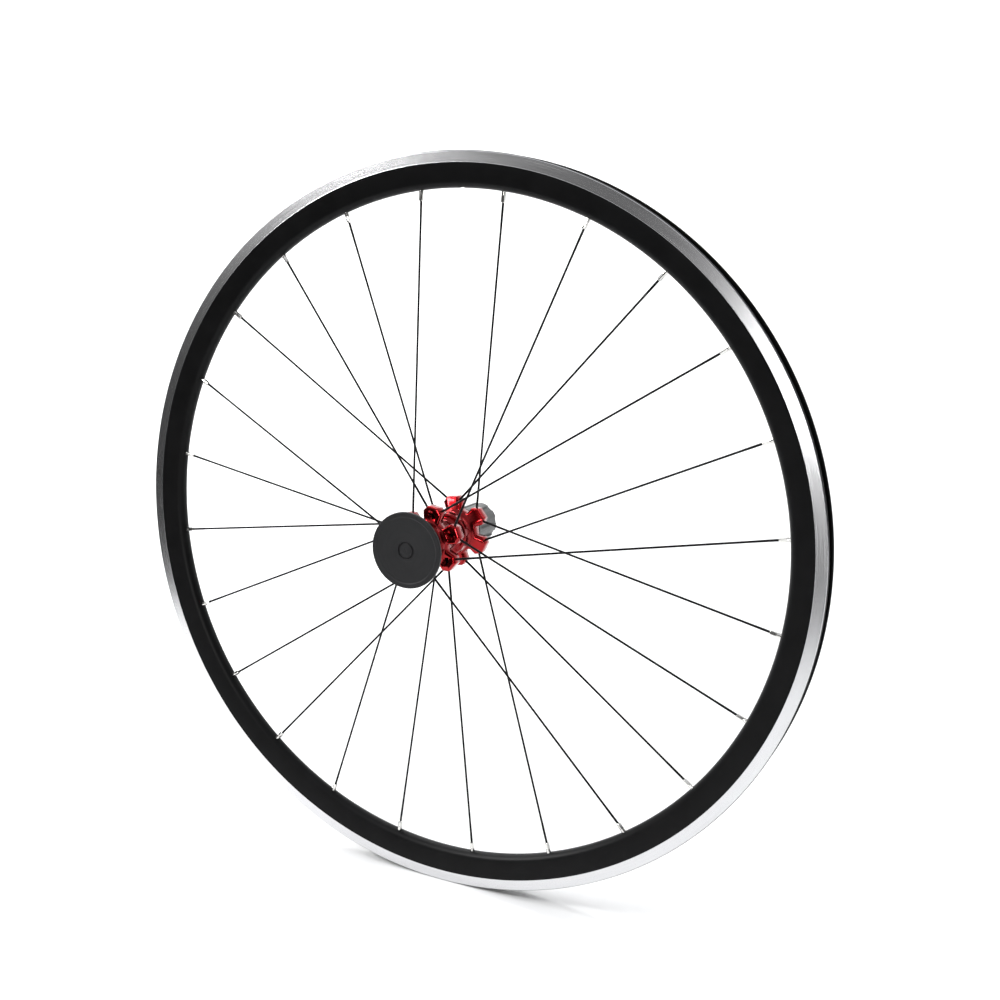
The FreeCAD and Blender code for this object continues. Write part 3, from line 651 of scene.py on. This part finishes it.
# ---- ratchet ring, pawls and springs ----
# Hardened steel, ground and lightly oiled. The ring is pressed into the drum, the pawls rock in
# round sockets and a small leaf spring lies under each.

oiled_steel = milled_finish("oiled_steel", (0.24, 0.23, 0.22, 1), (0.42, 0.41, 0.39, 1), 1.0, 0.22)
for node in ("ratchet_ring", "pawl_1", "pawl_2", "pawl_3", "pawl_springs"):
    dress(node, oiled_steel)


# ---- bearings ----
# Four sealed cartridge bearings: ground rings, polished balls in a moulded cage, and a black rubber
# seal each side that leaves the edges of the rings in sight.

def rubber_finish():
    material, start = new_finish("seal_rubber")
    place, radius, _, _ = round_the_axle(start)
    rings = grain(vector_of(radius * 1800.0, 0.0, 0.0), 1.0, 2.0)
    dust = grain(place, 500.0, 3.0)
    tone = blend_colours(dust, (0.012, 0.012, 0.013, 1), (0.03, 0.03, 0.031, 1))
    return close_finish(material, start, {
        "Base Color": tone, "Roughness": dust * 0.2 + 0.45, "Normal": bumped(rings, 0.00003)})


def cage_finish():
    material, start = new_finish("moulded_cage")
    place = start.node("ShaderNodeTexCoord", {}, {}, "Object")
    cloud = grain(place, 300.0, 3.0)
    tone = blend_colours(cloud, (0.62, 0.58, 0.46, 1), (0.72, 0.69, 0.58, 1))
    return close_finish(material, start, {
        "Base Color": tone, "Roughness": cloud * 0.15 + 0.4, "Normal": bumped(cloud, 0.00001)})


ring_steel = milled_finish("ground_ring_steel", (0.5, 0.5, 0.51, 1), (0.7, 0.7, 0.71, 1), 1.0, 0.12)
ball_steel = milled_finish("polished_ball_steel", (0.72, 0.72, 0.73, 1), (0.8, 0.8, 0.81, 1), 1.0, 0.04,
                           0.000002)
rubber = rubber_finish()
cage = cage_finish()
bearing_riders = {"left_hub_bearing": "wheel", "right_hub_bearing": "wheel",
                  "freehub_inner_bearing": "freehub", "freehub_outer_bearing": "freehub"}
for bearing, outer_body in bearing_riders.items():
    smooth_copy(bearing + "_outer_race", outer_body, ring_steel)
    smooth_copy(bearing + "_inner_race", "axle", ring_steel)
    smooth_copy(bearing + "_seals", outer_body, rubber)
    dress(bearing + "_balls", ball_steel)
    dress(bearing + "_cage", cage)


# ---- freehub body ----
# Turned and splined from one bar, with the pawl sockets milled into its thin end, and hard
# anodised a cloudy grey. A circlip holds the outer bearing, and a rubber lip closes the drum.

def hard_anodised():
    material, start = new_finish("grey_hard_anodised")
    place, radius, angle, along = round_the_axle(start)
    lines = grain(vector_of(radius * 2400.0, angle * 2.0, along * 2400.0), 1.0, 3.0)
    cloud = grain(place, 160.0, 4.0)
    # Painted sheen: lighter grey streaks running along the axle stand in for light caught on the splines.
    painted_sheen_streaks = rise(grain(vector_of(angle * 9.0, along * 120.0, radius * 60.0), 1.0, 3.0), 0.55, 0.8)
    tone = blend_colours(cloud, (0.026, 0.028, 0.028, 1), (0.065, 0.068, 0.068, 1))
    grey_with_painted_sheen = blend_colours(painted_sheen_streaks, tone, (0.16, 0.16, 0.16, 1))
    return close_finish(material, start, {
        "Base Color": grey_with_painted_sheen, "Metallic": 0.6, "Roughness": lines * 0.14 + cloud * 0.1 + 0.22,
        "Normal": bumped(lines, 0.00002)})


smooth_copy("freehub_body", "freehub", hard_anodised())
smooth_copy("freehub_seal", "freehub", rubber)
smooth_copy("freehub_circlip", "freehub", oiled_steel)


# ---- axle and its spacers ----
# A hollow turned axle, satin silver, with plain sleeves between the bearings. The end sleeves,
# dust covers and locknuts are anodised black.

satin_silver = milled_finish("satin_axle", (0.48, 0.48, 0.49, 1), (0.68, 0.68, 0.69, 1), 1.0, 0.2)
black_fitting = milled_finish("black_fitting", (0.008, 0.008, 0.009, 1), (0.022, 0.022, 0.023, 1),
                              0.0, 0.26)
for node in ("axle", "hub_to_freehub_spacer", "freehub_bearing_spacer"):
    smooth_copy(node, "axle", satin_silver)
for side in ("left", "right"):
    for part in ("_locknut", "_end_spacer", "_dust_cover"):
        smooth_copy(side + part, "axle", black_fitting)


# ---- axle protector ----
# A smooth disc of black moulded plastic, pushed on the near axle end so that the axle doesn't
# scratch anything. A ring-shaped groove marks its middle, and its edge has a low raised lip.

def moulded_plastic():
    material, start = new_finish("moulded_black_plastic")
    place, radius, angle, _ = round_the_axle(start)
    skin = grain(place, 5200.0, 2.0)
    cloud = grain(place, 70.0, 3.0)
    flow = grain(vector_of(radius * 420.0, angle * 0.6, 0.0), 1.0, 2.0)
    tone = blend_colours(flow * 0.6 + cloud * 0.4, (0.013, 0.013, 0.014, 1), (0.020, 0.020, 0.021, 1))
    return close_finish(material, start, {
        "Base Color": tone, "Roughness": cloud * 0.08 + skin * 0.06 + 0.42,
        "Specular IOR Level": 0.22, "Normal": bumped(skin, 0.000012)})


disc_low, disc_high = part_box("axle_protector")
disc_radius = disc_high[2]
disc_front = disc_low[1]
socket_end = disc_high[1]
lip_height = 0.5 * mm
disc_face = disc_front + lip_height
disc_back = disc_face + 2.2 * mm
disc_edge = 0.8 * mm
disc_edge_bulge = 0.24 * mm
lip_width = 3.6 * mm
groove_inner = 5.7 * mm
groove_outer = 7.4 * mm
groove_depth = 1.1 * mm
groove_draft = 0.1 * mm
boss_radius = 9.0 * mm
boss_round = 2.0 * mm
boss_bulge = 0.6 * mm
socket_radius = 5.0 * mm
gate_radius = 0.9 * mm
gate_depth = 0.25 * mm

disc_outline = [
    (disc_face + gate_depth, 0), (disc_face + gate_depth, gate_radius * 0.7), (disc_face, gate_radius),
    (disc_face, groove_inner), (disc_face + groove_depth, groove_inner + groove_draft),
    (disc_face + groove_depth, groove_outer - groove_draft), (disc_face, groove_outer),
    (disc_face, disc_radius - lip_width - 2 * lip_height), (disc_front, disc_radius - lip_width),
    (disc_front, disc_radius - disc_edge), (disc_front + disc_edge_bulge, disc_radius - disc_edge_bulge),
    (disc_front + disc_edge, disc_radius), (disc_back, disc_radius),
    (disc_back, boss_radius + boss_round), (disc_back + boss_bulge, boss_radius + boss_bulge),
    (disc_back + boss_round, boss_radius), (socket_end, boss_radius), (socket_end, socket_radius),
    (disc_back, socket_radius), (disc_back, 0)]
disc_shape = turned(disc_outline, 128, 0.12 * mm, closed=False)
disc = add_piece("protector_disc", disc_shape, [moulded_plastic()])
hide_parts("axle_protector")
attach(disc, "axle_protector")
